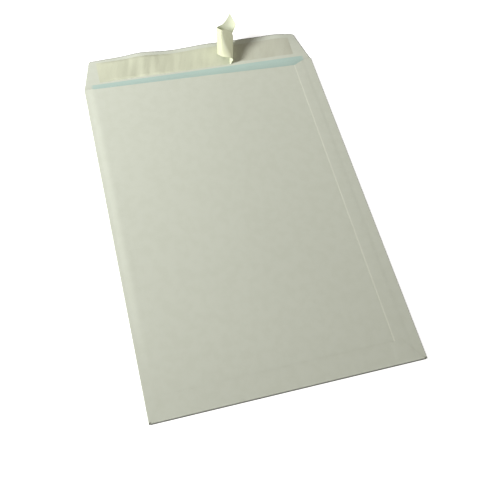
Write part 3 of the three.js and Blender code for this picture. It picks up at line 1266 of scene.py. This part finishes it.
@dataclass
class ReleaseLiner:
    """The release liner: still down on the left, peeled off from the right and curled up."""

    finishes: Finishes
    flap: SealFlap
    cell: float = 0.75 * MM
    ripple: float = 0.4 * MM
    ripple_width: float = 6 * MM
    ripple_stretch: float = 5.0
    ripple_rest: float = 0.35
    ripple_full_at: float = 0.6
    end_run: float = 10 * MM
    peel_run: float = 6 * MM
    side_run: float = 2 * MM
    curl_steps: int = 160
    curl_strands: int = 24
    closed_keep: float = 0.01

    def __post_init__(self) -> None:
        """Reads the places of the CAD liner."""
        self.strip = Span.of("release_liner")
        self.thickness = self.strip.high.z - self.strip.low.z
        width = self.strip.high.y - self.strip.low.y
        lean = math.radians(Curl.peel_lean)
        self.peel_x = self.strip.high.x - width * math.tan(lean)
        root = Vector((self.peel_x, self.strip.low.y, self.strip.low.z + self.thickness / 2))
        self.curl = Curl(origin_mm=root / MM, ruling_mm=width / math.cos(lean) / MM)

    def ripple_at(self, x: float, y: float) -> float:
        """The small ripples of the liner where it has lifted off and gone down again.

        Args:
            x: Place across the envelope.
            y: Place along it.

        Returns:
            The rise, nothing at the liner's edges.
        """
        low = self.strip.low
        top = self.strip.high.y
        beside = x - (y - low.y) * math.tan(math.radians(self.curl.peel_lean))
        seed = Vector((beside / self.ripple_width, y / (self.ripple_stretch * self.ripple_width), 0.0))
        share = 0.5 + 0.5 * noise.noise(seed)
        lively = smooth_step(x, 0.0, low.x * self.ripple_full_at)
        calm = self.ripple_rest + (1 - self.ripple_rest) * lively
        ends = smooth_step(x, low.x, low.x + self.end_run)
        ends *= smooth_step(x, self.peel_x, self.peel_x - self.peel_run)
        sides = smooth_step(y, low.y, low.y + self.side_run)
        sides *= smooth_step(y, top, top - self.side_run)
        return 2 * self.ripple * share * calm * ends * sides

    def liner_strip(self) -> None:
        """The part that is still on the adhesive, cut off along the peel line."""
        sheet = Bench.grid("liner_strip", self.strip.low, self.strip.high, self.cell)
        lean = math.radians(self.curl.peel_lean)
        outward = Vector((math.cos(lean), -math.sin(lean), 0))
        Bench.cut(sheet, Vector((self.peel_x, self.strip.low.y, 0)), outward)

        def place(point: Vector) -> Vector:
            """Lays the liner on the flap's wave, with its ripples."""
            rise = self.flap.lift_at(point.x, point.y) + self.ripple_at(point.x, point.y)
            return point + Vector((0, 0, rise))

        Bench.form(sheet, place, self.thickness)
        Bench.dress(sheet, self.finishes.liner, "liner")
        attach(sheet, Body.LINER.value)
        self.flap.flatten(sheet)
        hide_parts("release_liner")
        log.info("%s stands for release_liner", sheet.name)

    def liner_curl(self) -> None:
        """The peeled part, rolled up from a flat grid of shares along and across it."""
        sheet = Bench.squares("liner_curl", self.curl_steps, self.curl_strands, Vector())

        def place(point: Vector) -> Vector:
            """Rolls the sheet up on the flap's wave."""
            lift = self.flap.lift_at(*self.curl.point(0.0, point.y + 0.5).xy)
            return self.curl.point(point.x + 0.5, point.y + 0.5) + Vector((0, 0, lift))

        Bench.form(sheet, place, self.thickness, offset=0.0)
        # Its paper side: the liner's colour, lightened with painted light.
        Bench.dress(sheet, self.finishes.peeled_liner_lit, "liner")
        sheet.data.materials.append(self.finishes.silicone)
        front = self.curl_steps * self.curl_strands
        for face in sheet.data.polygons[front:2 * front]:
            face.material_index = 1
        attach(sheet, Body.LINER.value)
        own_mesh(sheet)
        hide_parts("liner_tail")
        log.info("%s stands for liner_tail", sheet.name)

    def build(self) -> None:
        """Builds the liner."""
        self.liner_strip()
        self.liner_curl()


@dataclass(frozen=True)
class Lamp:
    """A round soft lamp."""

    place: tuple[float, float, float]
    target: tuple[float, float, float]
    size: float
    power: float

    def build(self, name: str) -> None:
        """Hangs the lamp and aims it.

        Args:
            name: Its name.
        """
        bpy.ops.object.light_add(type="AREA", location=self.place)
        lamp = bpy.context.object
        lamp.name = name
        lamp.data.shape = "DISK"
        lamp.data.size = self.size
        lamp.data.energy = self.power
        aim = Vector(self.target) - Vector(self.place)
        lamp.rotation_euler = aim.to_track_quat("-Z", "Y").to_euler()


@dataclass
class Studio:
    """The white table, the lamps, the sky and the camera."""

    camera_place: Vector = field(default_factory=lambda: Vector((-0.11503, -0.26769, 0.51146)))
    camera_target: Vector = field(default_factory=lambda: Vector((-0.00847, -0.02517, 0.00085)))
    camera_roll: float = 10.4
    lens_mm: float = 49.84
    clip_start: float = 0.01
    key: Lamp = Lamp(place=(-1.399, -0.181, 0.85), target=(-1.034, 1.26, 0.652), size=0.6, power=78.0)
    fill: Lamp = Lamp(place=(3.2, -3.0, 0.8), target=(0.0, 0.15, 0.0), size=1.8, power=90.0)
    sky_strength: float = 0.17
    table_size: float = 8.0
    table_drop: float = 0.1 * MM
    table_roughness: float = 0.9
    table_glow: float = 0.7

    def floor(self) -> None:
        """The table: it takes the shadow, and the camera sees it as white."""
        bpy.ops.mesh.primitive_plane_add(size=self.table_size, location=(0, 0, -self.table_drop))
        table = bpy.context.object
        table.name = "table"
        made = bpy.data.materials.new("white table")
        made.use_nodes = True
        shaders = ShaderTree(made.node_tree)
        surface = made.node_tree.nodes["Principled BSDF"]
        surface.inputs["Base Color"].default_value = Tone.TABLE.linear()
        surface.inputs["Roughness"].default_value = self.table_roughness
        glow = shaders.add("ShaderNodeEmission")
        glow.inputs["Color"].default_value = Tone.WHITE.linear()
        seen = shaders.add("ShaderNodeLightPath").outputs["Is Camera Ray"]
        shaders.link(shaders.number("MULTIPLY", seen, self.table_glow), glow.inputs["Strength"])
        both = shaders.add("ShaderNodeAddShader")
        shaders.link(surface.outputs[0], both.inputs[0])
        shaders.link(glow.outputs[0], both.inputs[1])
        shaders.link(both.outputs[0], made.node_tree.nodes["Material Output"].inputs["Surface"])
        table.data.materials.append(made)

    def sky(self) -> None:
        """A plain sky that is white to the camera and gives a little light from all round."""
        world = bpy.data.worlds.new("studio")
        world.use_nodes = True
        shaders = ShaderTree(world.node_tree)
        dome = world.node_tree.nodes["Background"]
        seen = shaders.add("ShaderNodeLightPath").outputs["Is Camera Ray"]
        shaders.link(shaders.blend(seen, Tone.SKY.linear(), Tone.WHITE.linear()), dome.inputs["Color"])
        lift = shaders.number("MULTIPLY", seen, 1.0 - self.sky_strength)
        shaders.link(shaders.number("ADD", lift, self.sky_strength), dome.inputs["Strength"])
        bpy.context.scene.world = world

    def camera(self) -> None:
        """The camera, looking down the envelope from its lower left."""
        data = bpy.data.cameras.new("camera")
        data.lens = self.lens_mm
        data.clip_start = self.clip_start
        camera = bpy.data.objects.new("camera", data)
        bpy.context.scene.collection.objects.link(camera)
        aim = (self.camera_target - self.camera_place).to_track_quat("-Z", "Y")
        roll = Matrix.Rotation(math.radians(self.camera_roll), 4, "Z")
        camera.matrix_world = Matrix.Translation(self.camera_place) @ aim.to_matrix().to_4x4() @ roll
        bpy.context.scene.camera = camera

    def build(self) -> None:
        """Sets up the studio."""
        self.camera()
        self.floor()
        self.sky()
        self.key.build("key lamp")
        self.fill.build("fill lamp")
        bpy.context.scene.view_settings.view_transform = "Standard"


def main() -> None:
    """Builds the studio and then the envelope, part by part."""
    logging.basicConfig(level=logging.INFO, format="%(message)s")
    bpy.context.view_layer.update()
    Studio().build()
    finishes = Finishes()
    Pocket(finishes).build()
    flap = SealFlap(finishes)
    flap.build()
    ReleaseLiner(finishes, flap).build()


if __name__ == "__main__":
    main()
